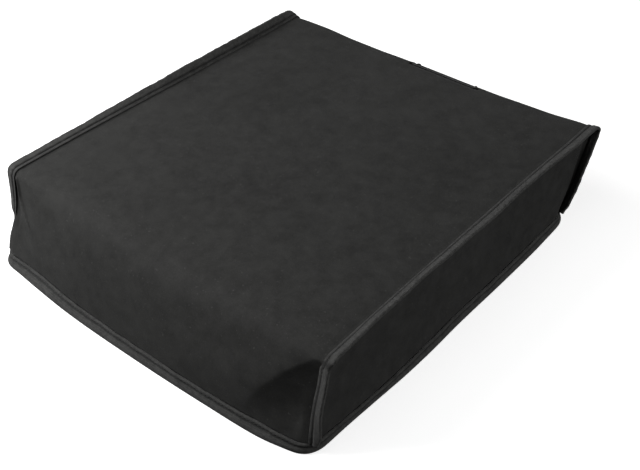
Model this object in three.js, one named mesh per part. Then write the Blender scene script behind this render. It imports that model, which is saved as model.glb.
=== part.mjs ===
// A fitted dust cover for a game console, standing by itself on its bound lower edge.
//
// One stiff cloth makes the front, the top and the back. Two more close the sides. Each seam
// between them is turned outwards and bound with folded tape, and so are the lower edge and
// the cable notch in the back.
//
// Millimetres, +Z up, +X to the right, +Y to the back. Until the last lines the model is laid
// out from the middle of its top; then it is moved so that the middle of its footprint is the
// origin.

import * as THREE from 'three';

const { clamp, degToRad, inverseLerp, lerp, mapLinear, smoothstep } = THREE.MathUtils;

// Driving dimensions
const CLOTH = 1.2; // thickness of the coated cloth
const HEM_TOP = 9; // height at which the panels end in the hem tape
const HEM_CORNER = 12; // radius of the panels' lower corners
const SEWN_GAP = 0.3; // between pieces that are sewn to each other

const TAPE = { width: 9.8, endWidth: 7.6, thickness: 2.6, rounding: 0.9 };
const NOTCH = { left: -15, right: 56, tape: 7, corner: 5, standOff: 0.55 };
const SIDE_PANEL_RECESS = { left: 2, right: 3 };

// The main panel in section at seven places across it, from the left seam at -1 to the right
// seam at 1. hemY and backY are its lower edges. The bend over the front edge and the fold at
// the back are given by the corner that the rounding cuts off. The bulge is how far the front
// swells between hem and bend, and the flare how far the hem tape's foot stands out.
const SECTION_COLUMNS = ['hemY', 'bulge', 'bendY', 'bendZ', 'bendRadius',
  'foldY', 'foldZ', 'foldRadius', 'backY', 'flare'];
const SECTIONS = [
  { across: -1.00, row: [-178.6, -2.0, -158.5, 76.5, 7, 164.0, 81.4, 8, 138.0, 5.5] },
  { across: -0.76, row: [-179.6, 1.5, -159.5, 77.0, 24, 162.2, 81.3, 6, 141.0, 7.2] },
  { across: -0.45, row: [-184.3, 2.0, -161.5, 77.0, 28, 161.3, 80.2, 6, 142.0, 6.2] },
  { across: 0.00, row: [-186.7, 2.2, -166.0, 77.0, 32, 160.8, 79.6, 6, 143.0, 5.0] },
  { across: 0.45, row: [-186.2, 2.6, -165.5, 77.0, 30, 160.2, 79.2, 6, 142.0, 4.6] },
  { across: 0.78, row: [-183.3, 4.5, -164.0, 77.0, 20, 161.8, 80.2, 6, 141.0, 5.4] },
  { across: 1.00, row: [-181.0, -2.0, -164.5, 76.0, 7, 164.0, 82.0, 8, 139.0, 2.4] },
];

// Where each seam runs and how far its tape leans. The station is 0 at the front hem, 1 at the
// bend, 2 at the back fold and 3 at the back hem. A lean of 0 degrees stands straight out of
// the main panel, and 90 points straight to the side.
const SEAM_COLUMNS = { left: { x: 0, lean: 1 }, right: { x: 2, lean: 3 } };
const SEAMS = [
  { station: 0.00, row: [160.6, 134, 153.2, 102] },
  { station: 0.12, row: [160.6, 134, 152.6, 96] },
  { station: 0.25, row: [158.0, 120, 152.3, 80] },
  { station: 0.40, row: [155.2, 106, 152.9, 73] },
  { station: 0.60, row: [154.3, 99, 154.9, 72] },
  { station: 1.00, row: [155.0, 92, 157.4, 74] },
  { station: 1.12, row: [154.8, 88, 157.1, 67] },
  { station: 1.30, row: [153.4, 78, 156.0, 58] },
  { station: 1.45, row: [151.2, 60, 155.4, 62] },
  { station: 1.60, row: [149.4, 45, 154.9, 70] },
  { station: 1.70, row: [148.6, 38, 155.0, 64] },
  { station: 1.80, row: [147.6, 33, 155.2, 72] },
  { station: 1.86, row: [147.0, 38, 155.2, 80] },
  { station: 1.92, row: [146.9, 64, 154.7, 84] },
  { station: 2.00, row: [147.3, 86, 154.7, 88] },
  { station: 2.20, row: [149.0, 88, 154.0, 92] },
  { station: 2.40, row: [151.0, 88, 154.0, 108] },
  { station: 2.70, row: [153.0, 94, 153.4, 118] },
  { station: 3.00, row: [152.0, 98, 150.6, 116] },
];

// Each side panel's lower edge, along it from 0 at the front seam to 1 at the back seam: how far
// it stands out of the straight line between its ends, and how far the hem tape's foot flares.
const SIDE_HEM = [
  { along: 0.00, row: [0.0, 2.2] },
  { along: 0.10, row: [1.4, 1.2] },
  { along: 0.20, row: [2.9, 1.0] },
  { along: 0.30, row: [3.1, 2.2] },
  { along: 0.40, row: [2.4, 3.1] },
  { along: 0.50, row: [1.5, 3.2] },
  { along: 0.70, row: [1.6, 3.2] },
  { along: 0.85, row: [0.9, 3.4] },
  { along: 1.00, row: [0.0, 2.5] },
];
const BACK_FLARE = 4; // how far the foot flares along the back

// The hem tape in section: how far out from the panel's face, as a share of the flare and a
// fixed part, and how high. Its upper edge is a proud ridge, and it stands on a flat foot.
const HEM_PROFILE = [
  { flare: 0, out: 1.6, up: 8.2 },
  { flare: 0, out: 2.1, up: 7.2 },
  { flare: 1, out: 0, up: 1 },
  { flare: 1, out: 0, up: 0 },
  { flare: 1, out: -3, up: 0 },
  { flare: 0, out: -1.3, up: 6.2 },
  { flare: 0, out: -1.3, up: 8.2 },
];

// Steps along each stretch of the main panel
const STEPS = { front: 9, bend: 6, top: 17, fold: 4, back: 10 };
const ROWS_FRONT = STEPS.front + STEPS.bend / 2;
const ROWS_TOP = STEPS.bend / 2 + STEPS.top + STEPS.fold / 2;
const ROWS = 2 * ROWS_FRONT + ROWS_TOP;
const NOTCH_ROW = STEPS.front + STEPS.bend + STEPS.top;

/** A smooth curve through the rows of a table, which gives all of its columns at once. */
function table(places, rows) {
  const curve = new THREE.CubicInterpolant(places, rows.flat(), rows[0].length,
    new Float64Array(rows[0].length));
  return (place) => Array.from(curve.evaluate(clamp(place, places[0], places.at(-1))));
}

const sectionAt = table(SECTIONS.map((s) => s.across), SECTIONS.map((s) => s.row));
const seamAt = table(SEAMS.map((s) => s.station), SEAMS.map((s) => s.row));
const sideHemAt = table(SIDE_HEM.map((s) => s.along), SIDE_HEM.map((s) => s.row));

/** The places from one value to another, the first left out, in equal steps. */
function divide(from, to, steps) {
  return Array.from({ length: steps }, (_, i) => lerp(from, to, (i + 1) / steps));
}

// Columns across the main panel: closer together by the seams, with one on each edge of the
// notch
const MEAN_WIDTH = 154; // half the main panel's width, near enough to place the notch
const NOTCH_COLUMNS = { left: 13, right: 18 };
const COLUMNS = [-1, ...divide(-1, -0.72, 5), ...divide(-0.72, NOTCH.left / MEAN_WIDTH, 8),
  ...divide(NOTCH.left / MEAN_WIDTH, NOTCH.right / MEAN_WIDTH, 5),
  ...divide(NOTCH.right / MEAN_WIDTH, 0.72, 4), ...divide(0.72, 1, 7)];

/** How far a seam lies from the middle, at a station and on one side. */
function seamDistance(side, station) {
  return seamAt(station)[SEAM_COLUMNS[side < 0 ? 'left' : 'right'].x];
}

/** How far round a lower corner of the panels the edge has turned back from its straight run. */
function cornerTurn(distanceToSeam) {
  const reach = HEM_CORNER * Math.SQRT1_2;
  const into = clamp(reach - distanceToSeam, 0, reach);
  return HEM_CORNER - Math.sqrt(HEM_CORNER ** 2 - into ** 2);
}

// How wide the flat facet by each front corner is at some rows of the front, as a share of half
// the panel's width
const FACETS = {
  left: { rows: [0, 5.3, 6.2, 7.3, 9.2, 12], widths: [0.3, 0.105, 0.063, 0.034, 0.015, 0.01] },
  right: {
    rows: [0, 2.3, 4.9, 6.7, 8.1, 8.9, 11.4, 12.5],
    widths: [0.34, 0.3, 0.241, 0.187, 0.118, 0.067, 0.024, 0.01],
  },
};

/** The width of a facet at a row, on straight lines between the rows that are given. */
function facetWidth({ rows, widths }, row) {
  const next = clamp(rows.findIndex((place) => place > row), 1, rows.length - 1);
  const share = inverseLerp(rows[next - 1], rows[next], row);
  return lerp(widths[next - 1], widths[next], clamp(share, 0, 1));
}

/**
 * How much of the front's bulge is left at a place across: it fades out over the facets. The
 * lower part of the left facet meets the front without a crease.
 */
function bulgeShare(across, row) {
  const width = facetWidth(across < 0 ? FACETS.left : FACETS.right, row);
  const within = clamp((1 - Math.abs(across)) / width, 0, 1);
  return 1 - (1 - within) ** (across < 0 ? 2 - smoothstep(row, 3.5, 5.5) : 1);
}

/**
 * A point of the main panel's outer face. The section at this place across is a path of three
 * straight runs with two rounded corners, and the row picks a step along it.
 */
function mainPoint(across, row) {
  const section = Object.fromEntries(SECTION_COLUMNS.map((name, i) => [name, sectionAt(across)[i]]));
  const fromSeam = MEAN_WIDTH * (1 - Math.abs(across));
  const hem = new THREE.Vector2(section.hemY + cornerTurn(fromSeam), HEM_TOP);
  const bend = new THREE.Vector2(section.bendY, section.bendZ);
  const fold = new THREE.Vector2(section.foldY, section.foldZ);
  const back = new THREE.Vector2(section.backY - cornerTurn(fromSeam), HEM_TOP);
  const bendStart = cutBack(bend, hem, fold, section.bendRadius);
  const bendEnd = cutBack(bend, fold, hem, section.bendRadius);
  const foldStart = cutBack(fold, bend, back, section.foldRadius);
  const foldEnd = cutBack(fold, back, bend, section.foldRadius);
  const stretches = [
    { steps: STEPS.front, curve: new THREE.LineCurve(hem, bendStart) },
    { steps: STEPS.bend, curve: new THREE.QuadraticBezierCurve(bendStart, bend, bendEnd) },
    { steps: STEPS.top, curve: new THREE.LineCurve(bendEnd, foldStart) },
    { steps: STEPS.fold, curve: new THREE.QuadraticBezierCurve(foldStart, fold, foldEnd) },
    { steps: STEPS.back, curve: new THREE.LineCurve(foldEnd, back) },
  ];
  let step = row;
  let stretch = stretches[0];
  for (stretch of stretches) {
    if (step <= stretch.steps) break;
    step -= stretch.steps;
  }
  const point = stretch.curve.getPoint(Math.min(step / stretch.steps, 1));
  if (stretch === stretches[0]) {
    const rise = step / STEPS.front;
    const seamBulge = SECTIONS.at(across < 0 ? 0 : -1).row[SECTION_COLUMNS.indexOf('bulge')];
    const bulge = lerp(seamBulge, section.bulge, bulgeShare(across, row));
    point.x -= bulge * Math.sin(Math.PI * rise);
  }
  return new THREE.Vector3(across * seamDistance(across, stationOf(row)), point.x, point.y);
}

/** Where a rounded corner starts: the tangent point on the run from the corner to `towards`. */
function cutBack(corner, towards, other, radius) {
  const run = towards.clone().sub(corner).normalize();
  const angle = Math.acos(run.dot(other.clone().sub(corner).normalize()));
  return corner.clone().addScaledVector(run, radius / Math.tan(angle / 2));
}

/** The station of a row, from 0 at the front hem to 3 at the back hem. */
function stationOf(row) {
  if (row <= ROWS_FRONT) return row / ROWS_FRONT;
  if (row <= ROWS_FRONT + ROWS_TOP) return 1 + (row - ROWS_FRONT) / ROWS_TOP;
  return 2 + (row - ROWS_FRONT - ROWS_TOP) / ROWS_FRONT;
}

/**
 * The frame of a seam at one row: the seam's point, the way along it, the way that its tape
 * stands out, and the way out of the main panel. The side is -1 on the left and 1 on the right.
 */
function seamFrame(side, row) {
  const point = mainPoint(side, row);
  const before = mainPoint(side, Math.max(row - 1, 0));
  const after = mainPoint(side, Math.min(row + 1, ROWS));
  const along = after.sub(before).setX(0).normalize();
  const outOfPanel = new THREE.Vector3(0, -along.z, along.y);
  const lean = degToRad(seamAt(stationOf(row))[SEAM_COLUMNS[side < 0 ? 'left' : 'right'].lean]);
  const out = outOfPanel.clone().multiplyScalar(Math.cos(lean));
  out.x += side * Math.sin(lean);
  return { point, along, out, outOfPanel, lean };
}

/** A closed mesh from its points and its triangles, each three indices into the points. */
function closedMesh(name, points, triangles, material) {
  const geometry = new THREE.BufferGeometry();
  geometry.setAttribute('position', new THREE.Float32BufferAttribute(
    points.flatMap((p) => [p.x, p.y, p.z]), 3));
  geometry.setIndex(triangles.flat());
  const mesh = new THREE.Mesh(geometry, material);
  mesh.name = name;
  return mesh;
}

/** Two triangles for a quad whose corners run anticlockwise as seen from outside. */
function quad(a, b, c, d) {
  return [[a, b, c], [a, c, d]];
}

/**
 * A sheet of cloth as a closed solid. `grid[i][j]` holds its outer face, where i cross j points
 * outwards, and the inner face lies a cloth's thickness behind it. Cells for which `keep` is
 * false are left out, and every open edge gets a wall.
 */
function sheet(name, grid, material, keep = () => true) {
  const columns = grid.length - 1;
  const rows = grid[0].length - 1;
  const outer = [];
  const inner = [];
  grid.forEach((line, i) => line.forEach((point, j) => {
    const acrossWay = grid[Math.min(i + 1, columns)][j].clone().sub(grid[Math.max(i - 1, 0)][j]);
    const alongWay = line[Math.min(j + 1, rows)].clone().sub(line[Math.max(j - 1, 0)]);
    const normal = acrossWay.cross(alongWay).normalize();
    outer.push(point);
    inner.push(point.clone().addScaledVector(normal, -CLOTH));
  }));
  const used = new Map();
  const points = [];
  const index = (i, j, layer) => {
    const key = (i * (rows + 1) + j) * 2 + layer;
    if (!used.has(key)) {
      used.set(key, points.length);
      points.push((layer ? inner : outer)[i * (rows + 1) + j]);
    }
    return used.get(key);
  };
  const kept = (i, j) => i >= 0 && i < columns && j >= 0 && j < rows && keep(i, j);
  const wall = (i, j, k, l) => quad(index(i, j, 0), index(i, j, 1), index(k, l, 1), index(k, l, 0));
  const triangles = [];
  for (let i = 0; i < columns; i += 1) {
    for (let j = 0; j < rows; j += 1) {
      if (!kept(i, j)) continue;
      const face = (layer) => [index(i, j, layer), index(i + 1, j, layer),
        index(i + 1, j + 1, layer), index(i, j + 1, layer)];
      triangles.push(...quad(...face(0)), ...quad(...face(1).reverse()));
      if (!kept(i, j - 1)) triangles.push(...wall(i, j, i + 1, j));
      if (!kept(i + 1, j)) triangles.push(...wall(i + 1, j, i + 1, j + 1));
      if (!kept(i, j + 1)) triangles.push(...wall(i + 1, j + 1, i, j + 1));
      if (!kept(i - 1, j)) triangles.push(...wall(i, j + 1, i, j));
    }
  }
  return closedMesh(name, points, triangles, material);
}

/** A tape as a closed solid, from the rings of points that its section makes along its path. */
function tape(name, rings, material) {
  const size = rings[0].length;
  const points = rings.flat();
  const triangles = [];
  for (let ring = 0; ring + 1 < rings.length; ring += 1) {
    for (let k = 0; k < size; k += 1) {
      const a = ring * size + k;
      const b = ring * size + ((k + 1) % size);
      triangles.push(...quad(a, b, b + size, a + size));
    }
  }
  const last = (rings.length - 1) * size;
  for (let k = 1; k + 1 < size; k += 1) {
    triangles.push([0, k + 1, k]);
    triangles.push([last, last + k, last + k + 1]);
  }
  return closedMesh(name, points, triangles, material);
}

/**
 * The ring of a folded tape at one point of its path: a flat section with a rounded outer edge,
 * standing out from its root.
 */
function tapeRing(root, along, out, start, width) {
  const face = along.clone().cross(out).normalize();
  const half = TAPE.thickness / 2;
  const section = [[start, half], [start, -half], [width - TAPE.rounding, -half],
    [width, -half / 3], [width, half / 3], [width - TAPE.rounding, half]];
  return section.map(([far, across]) => root.clone().addScaledVector(out, far)
    .addScaledVector(face, across));
}

const clothMaterial = new THREE.MeshStandardMaterial({ color: 0x2b2b29, roughness: 0.85, metalness: 0 });
const tapeMaterial = new THREE.MeshStandardMaterial({ color: 0x3a3a37, roughness: 0.75, metalness: 0 });

/** The cloth that makes front, top and back, with the cable notch cut out of the back. */
function mainPanel() {
  const seamAllowance = 1.25;
  const grid = COLUMNS.map((across) => Array.from({ length: ROWS + 1 }, (_, row) => {
    const point = mainPoint(across, row);
    if (Math.abs(across) === 1) point.x -= Math.sign(across) * seamAllowance;
    return point;
  }));
  const keep = (i, j) => j < NOTCH_ROW || i < NOTCH_COLUMNS.left || i >= NOTCH_COLUMNS.right;
  return sheet('main_panel', grid, clothMaterial, keep);
}

// Columns of a side panel, as rows of the main panel's top edge from the middle of the bend to the
// middle of the fold. The straight run between them is divided more closely near its ends.
const SEAM_START = STEPS.front + STEPS.bend;
const SIDE_COLUMNS = [ROWS_FRONT, ...divide(ROWS_FRONT, SEAM_START, STEPS.bend / 2),
  ...divide(SEAM_START, SEAM_START + 1, 3), ...divide(SEAM_START + 1, NOTCH_ROW - 1, 15),
  ...divide(NOTCH_ROW - 1, NOTCH_ROW, 3), ...divide(NOTCH_ROW, ROWS_FRONT + ROWS_TOP, STEPS.fold / 2)];

/**
 * A side panel's edge at one row of the main panel. It lies equally far behind the tape of the
 * seam and behind the main panel's outer face.
 */
function sideEdge(side, row) {
  const { point, outOfPanel, lean } = seamFrame(side, row);
  const behind = TAPE.thickness / 2 + SEWN_GAP + 0.5;
  point.addScaledVector(outOfPanel, -behind);
  point.x += side * behind * Math.tan(Math.PI / 4 - lean / 2);
  return point;
}

/** Where a side panel's lower edge runs, from 0 at the front seam to 1 at the back seam. */
function sideHemPoint(side, along) {
  const front = sideEdge(side, 0);
  const back = sideEdge(side, ROWS);
  const y = lerp(front.y, back.y, along);
  const straight = lerp(Math.abs(front.x), Math.abs(back.x), along)
    + HEM_CORNER * (1 - Math.SQRT1_2) + sideHemAt(along)[0];
  const turn = cornerTurn(Math.min(y - front.y, back.y - y));
  return new THREE.Vector3(side * (straight - turn), y, HEM_TOP);
}

/** How far back a side panel's column stands, from 0 at the front seam to 1 at the back seam. */
function sideAlong(side, column) {
  const front = mainPoint(side, SIDE_COLUMNS[0]).y;
  const back = mainPoint(side, SIDE_COLUMNS.at(-1)).y;
  return mapLinear(mainPoint(side, column).y, front, back, 0, 1);
}

/** A side panel: a patch stretched between both upright seams, the top seam and the hem. */
function sidePanel(side, name, recess) {
  const upright = Array.from({ length: ROWS_FRONT + 1 }, (_, j) => j);
  const front = upright.map((j) => sideEdge(side, j));
  const back = upright.map((j) => sideEdge(side, ROWS - j));
  const top = SIDE_COLUMNS.map((row) => sideEdge(side, row));
  const last = SIDE_COLUMNS.length - 1;
  front[0].z = HEM_TOP;
  back[0].z = HEM_TOP;
  const grid = top.map((topPoint, i) => {
    const along = sideAlong(side, SIDE_COLUMNS[i]);
    const hem = sideHemPoint(side, along);
    return front.map((frontPoint, j) => {
      const up = j / ROWS_FRONT;
      const point = hem.clone().lerp(topPoint, up);
      point.add(frontPoint.clone().sub(front[0].clone().lerp(top[0], up)).multiplyScalar(1 - along));
      point.add(back[j].clone().sub(back[0].clone().lerp(top[last], up)).multiplyScalar(along));
      const hollow = Math.sin(Math.PI * along) ** 0.6 * Math.sin(Math.PI * up);
      point.x -= side * recess * hollow;
      return point;
    });
  });
  return sheet(name, side > 0 ? grid : grid.reverse(), clothMaterial);
}

/** The tape over a seam, from the front hem up, over the top and down to the back hem. */
function seamBinding(side, name) {
  const rings = Array.from({ length: ROWS + 1 }, (_, row) => {
    const { point, along, out } = seamFrame(side, row);
    const width = lerp(TAPE.endWidth, TAPE.width, smoothstep(Math.min(row, ROWS - row), 0, 3));
    const ring = tapeRing(point, along, out, 0, width);
    if (row > 0 && row < ROWS) return ring;
    return ring.map((p) => p.addScaledVector(along, (HEM_TOP - 0.2 - p.z) / along.z));
  });
  return tape(name, rings, tapeMaterial);
}

/**
 * The line that the panels' lower edge makes: from the notch's left edge round the back-left,
 * front-left, front-right and back-right corners to the notch's right edge.
 */
function hemLine() {
  const sideRun = (side) => SIDE_COLUMNS.slice(2, -2)
    .map((column) => sideHemPoint(side, sideAlong(side, column)));
  const backLeft = COLUMNS.slice(0, NOTCH_COLUMNS.left + 1).reverse();
  const backRight = COLUMNS.slice(NOTCH_COLUMNS.right).reverse();
  return [
    ...backLeft.map((across) => mainPoint(across, ROWS)),
    ...sideRun(-1).reverse(),
    ...COLUMNS.map((across) => mainPoint(across, 0)),
    ...sideRun(1),
    ...backRight.map((across) => mainPoint(across, ROWS)),
  ];
}

/** The tape round the lower edge, which flares outwards and stands flat on the ground. */
function hemBinding() {
  const line = hemLine();
  const [frontY, backY] = [0, ROWS].map((row) => sideEdge(1, row).y);
  const rings = line.map((point, i) => {
    const along = line[Math.min(i + 1, line.length - 1)].clone().sub(line[Math.max(i - 1, 0)]);
    const out = new THREE.Vector3(along.y, -along.x, 0).normalize();
    if (i === 0 || i === line.length - 1) out.set(0, 1, 0);
    const across = clamp(point.x / MEAN_WIDTH, -1, 1);
    const end = out.y < 0 ? sectionAt(across)[SECTION_COLUMNS.indexOf('flare')] : BACK_FLARE;
    const sideFlare = sideHemAt(inverseLerp(frontY, backY, point.y))[1];
    const foot = lerp(sideFlare, end, out.y ** 2);
    return HEM_PROFILE.map(({ flare, out: far, up }) => (
      point.clone().addScaledVector(out, flare * foot + far).setZ(up)));
  });
  const clear = NOTCH.standOff;
  rings[0].forEach((p) => p.setX(p.x - clear));
  rings.at(-1).forEach((p) => p.setX(p.x + clear));
  return tape('hem_binding', rings, tapeMaterial);
}

/** The tape round the notch: up its left edge, along its top and down its right edge. */
function notchBinding() {
  const columns = [COLUMNS[NOTCH_COLUMNS.left], COLUMNS[NOTCH_COLUMNS.right]];
  const foot = 0.4;
  const leg = (side) => {
    const across = columns[side < 0 ? 0 : 1];
    const points = [];
    for (let row = ROWS; row >= NOTCH_ROW + 2; row -= 1) {
      const point = mainPoint(across, row);
      point.x -= side * NOTCH.standOff;
      points.push({ point, out: new THREE.Vector3(-side, 0, 0) });
    }
    const lowest = points[0].point.clone();
    const next = points[1].point;
    const drop = (lowest.z - foot) / (next.z - lowest.z);
    lowest.addScaledVector(next.clone().sub(lowest), -drop);
    return [{ point: lowest, out: points[0].out.clone() }, ...points];
  };
  const off = new THREE.Vector3(0, NOTCH.standOff, -CLOTH / 2);
  const topEdge = (across) => mainPoint(across, NOTCH_ROW).add(off);
  const inset = NOTCH.corner / MEAN_WIDTH;
  const backwards = new THREE.Vector3(0, 1, -0.3).normalize();
  const top = divide(columns[0], columns[1], 8).slice(0, -1)
    .map((across) => ({ point: topEdge(across), out: backwards.clone() }));
  const left = leg(-1);
  const right = leg(1);
  const corner = (side) => {
    const across = columns[side < 0 ? 0 : 1] - side * inset;
    return { point: topEdge(across), out: new THREE.Vector3(-side * 0.45, 1, -0.25).normalize() };
  };
  const path = [...left, corner(-1), ...top.slice(1, -1), corner(1), ...right.reverse()];
  const rings = path.map(({ point, out }, i) => {
    const along = path[Math.min(i + 1, path.length - 1)].point.clone()
      .sub(path[Math.max(i - 1, 0)].point).normalize();
    const square = out.clone().addScaledVector(along, -out.dot(along)).normalize();
    return tapeRing(point, along, square, 0, NOTCH.tape);
  });
  return tape('notch_binding', rings, tapeMaterial);
}

const cover = new THREE.Group();
cover.add(
  mainPanel(),
  sidePanel(-1, 'side_panel_left', SIDE_PANEL_RECESS.left),
  sidePanel(1, 'side_panel_right', SIDE_PANEL_RECESS.right),
  seamBinding(-1, 'binding_left'),
  seamBinding(1, 'binding_right'),
  hemBinding(),
  notchBinding(),
);
const box = new THREE.Box3().setFromObject(cover);
const middle = box.getCenter(new THREE.Vector3());
cover.position.set(-middle.x, -middle.y, -box.min.z);

export default cover;
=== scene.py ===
# %% [markdown]
# # A fitted dust cover for a game console
#
# The cover is a stiff, near-black cloth shell that stands on its bound lower edge. One long
# panel makes the front, the top and the back. Two side panels close it. The seams between them
# are turned outwards and wrapped in folded tape, and the same tape binds the lower edge and the
# cable notch in the back.
#
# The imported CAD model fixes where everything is. This script builds each cloth piece again, as
# a thin sheet with a fine grid, lays it where the CAD node is, and gives it its weave, its
# creases and its stitches.

import bpy
import numpy as np
from mathutils import Matrix, Vector


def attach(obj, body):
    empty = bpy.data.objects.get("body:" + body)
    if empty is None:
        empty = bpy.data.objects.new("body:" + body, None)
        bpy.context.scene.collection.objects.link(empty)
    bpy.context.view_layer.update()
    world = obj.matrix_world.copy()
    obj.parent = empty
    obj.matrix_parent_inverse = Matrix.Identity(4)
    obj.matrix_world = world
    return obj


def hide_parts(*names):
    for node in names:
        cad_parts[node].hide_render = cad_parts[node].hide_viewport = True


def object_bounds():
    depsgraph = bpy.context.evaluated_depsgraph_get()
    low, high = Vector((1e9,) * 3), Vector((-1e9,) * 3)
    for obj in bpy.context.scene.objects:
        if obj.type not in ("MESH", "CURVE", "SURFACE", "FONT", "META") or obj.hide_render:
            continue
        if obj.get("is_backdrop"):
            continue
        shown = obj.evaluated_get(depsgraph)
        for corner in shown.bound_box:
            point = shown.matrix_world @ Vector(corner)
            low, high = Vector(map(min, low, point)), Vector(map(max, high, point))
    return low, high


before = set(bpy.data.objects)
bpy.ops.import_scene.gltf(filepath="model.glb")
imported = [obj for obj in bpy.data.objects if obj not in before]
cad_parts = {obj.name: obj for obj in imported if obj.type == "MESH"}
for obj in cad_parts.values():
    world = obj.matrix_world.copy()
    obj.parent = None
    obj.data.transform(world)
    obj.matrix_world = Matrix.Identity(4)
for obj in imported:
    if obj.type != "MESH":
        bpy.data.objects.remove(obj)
cad_box = [list(corner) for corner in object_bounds()]
print("CAD box:", np.round(cad_box, 3).tolist())

# %% [markdown]
# ## The camera
#
# The camera was worked out from the photograph: where the cover's corners lie in the picture
# gives the lens, the height and the direction. A camera could also be moved by eye until the
# picture fits, but measured numbers can be checked. Its axes are made from three angles,
# because a camera's tilt and roll are easier to read that way than as a matrix.

# %% Camera
EYE = np.array([467.7, -495.2, 539.9])  # millimetres, in the part's own frame
AZIMUTH, ELEVATION, ROLL = np.radians([41.8, 38.33, -2.09])
LENS = 60.55  # millimetres, for a sensor this wide
SENSOR = 36

gaze = np.array([-np.sin(AZIMUTH) * np.cos(ELEVATION),
                 np.cos(AZIMUTH) * np.cos(ELEVATION),
                 -np.sin(ELEVATION)])
level = np.array([np.cos(AZIMUTH), np.sin(AZIMUTH), 0.0])
raised = np.cross(level, gaze)
right = level * np.cos(ROLL) + raised * np.sin(ROLL)
up = raised * np.cos(ROLL) - level * np.sin(ROLL)

camera_data = bpy.data.cameras.new("camera")
camera_data.sensor_width = SENSOR
camera_data.lens = LENS
camera = bpy.data.objects.new("camera", camera_data)
placing = Matrix.Identity(4)
for axis, direction in enumerate((right, up, -gaze, EYE / 1000)):
    for row in range(3):
        placing[row][axis] = direction[row]
camera.matrix_world = placing
bpy.context.scene.collection.objects.link(camera)
bpy.context.scene.camera = camera
print("camera at", np.round(EYE / 1000, 3))

# %% [markdown]
# ## The shape as numbers
#
# The long panel is described the way a pattern cutter would: its section at seven places across
# it. Each section is a path of three straight runs, the front, the top and the back, with two
# rounded corners. Between the seven places the numbers follow a smooth curve. The seams have
# a table of their own, along their length. The shape could be sculpted instead, but a table
# can be measured, changed in one place and shared. All tables are in millimetres and hold the
# same values as the CAD source, so that both models are the same cover.

# %% Tables
HEM_TOP = 9.0  # height where the panels go under the hem tape
HEM_CORNER = 12.0  # radius of the lower edge's corners
MEAN_WIDTH = 154.0  # mean half width between the seams
ORIGIN = np.array([0.1336, 14.7550, 0.0])  # from the middle of the top to the part's own frame

# across, hem y, bulge, bend y, bend z, bend radius, fold y, fold z, fold radius, back y, flare
SECTIONS = np.array([
    [-1.00, -178.6, -2.0, -158.5, 76.5, 7, 164.0, 81.4, 8, 138.0, 5.5],
    [-0.76, -179.6, 1.5, -159.5, 77.0, 24, 162.2, 81.3, 6, 141.0, 7.2],
    [-0.45, -184.3, 2.0, -161.5, 77.0, 28, 161.3, 80.2, 6, 142.0, 6.2],
    [0.00, -186.7, 2.2, -166.0, 77.0, 32, 160.8, 79.6, 6, 143.0, 5.0],
    [0.45, -186.2, 2.6, -165.5, 77.0, 30, 160.2, 79.2, 6, 142.0, 4.6],
    [0.78, -183.3, 4.5, -164.0, 77.0, 20, 161.8, 80.2, 6, 141.0, 5.4],
    [1.00, -181.0, -2.0, -164.5, 76.0, 7, 164.0, 82.0, 8, 139.0, 2.4]])

# station, left x, left lean, right x, right lean: 0 front hem, 1 bend, 2 back fold, 3 back hem
SEAMS = np.array([
    [0.00, 160.6, 134, 153.2, 102], [0.12, 160.6, 134, 152.6, 96], [0.25, 158.0, 120, 152.3, 80],
    [0.40, 155.2, 106, 152.9, 73], [0.60, 154.3, 99, 154.9, 72], [1.00, 155.0, 92, 157.4, 74],
    [1.12, 154.8, 88, 157.1, 67], [1.30, 153.4, 78, 156.0, 58], [1.45, 151.2, 60, 155.4, 62],
    [1.60, 149.4, 45, 154.9, 70], [1.70, 148.6, 38, 155.0, 64], [1.80, 147.6, 33, 155.2, 72],
    [1.86, 147.0, 38, 155.2, 80], [1.92, 146.9, 64, 154.7, 84], [2.00, 147.3, 86, 154.7, 88],
    [2.20, 149.0, 88, 154.0, 92], [2.40, 151.0, 88, 154.0, 108], [2.70, 153.0, 94, 153.4, 118],
    [3.00, 152.0, 98, 150.6, 116]])

# along the side hem, how far it stands out of the straight line between its ends, and its flare
SIDE_HEM = np.array([
    [0.00, 0.0, 2.2], [0.10, 1.4, 1.2], [0.20, 2.9, 1.0], [0.30, 3.1, 2.2], [0.40, 2.4, 3.1],
    [0.50, 1.5, 3.2], [0.70, 1.6, 3.2], [0.85, 0.9, 3.4], [1.00, 0.0, 2.5]])
BACK_FLARE = 4.0

# for the left (-1) and the right (1) front corner: rows of the front, and the width of the
# buckled facet at each, as a share of the half width
FACETS = {-1: ([0, 5.3, 6.2, 7.3, 9.2, 12],
               [0.30, 0.105, 0.063, 0.034, 0.015, 0.01]),
          1: ([0, 2.3, 4.9, 6.7, 8.1, 8.9, 11.4, 12.5],
              [0.34, 0.300, 0.241, 0.187, 0.118, 0.067, 0.024, 0.01])}

STEPS = np.array([9, 6, 17, 4, 10])  # rows in front, bend, top, fold and back
STARTS = np.concatenate([[0], np.cumsum(STEPS)[:-1]])
ROWS = int(STEPS.sum())
ROWS_FRONT = 12  # the middle of the bend
ROWS_TOP = ROWS - 2 * ROWS_FRONT
NOTCH_ROW = STARTS[3]  # the cable notch reaches up to the back fold


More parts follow.
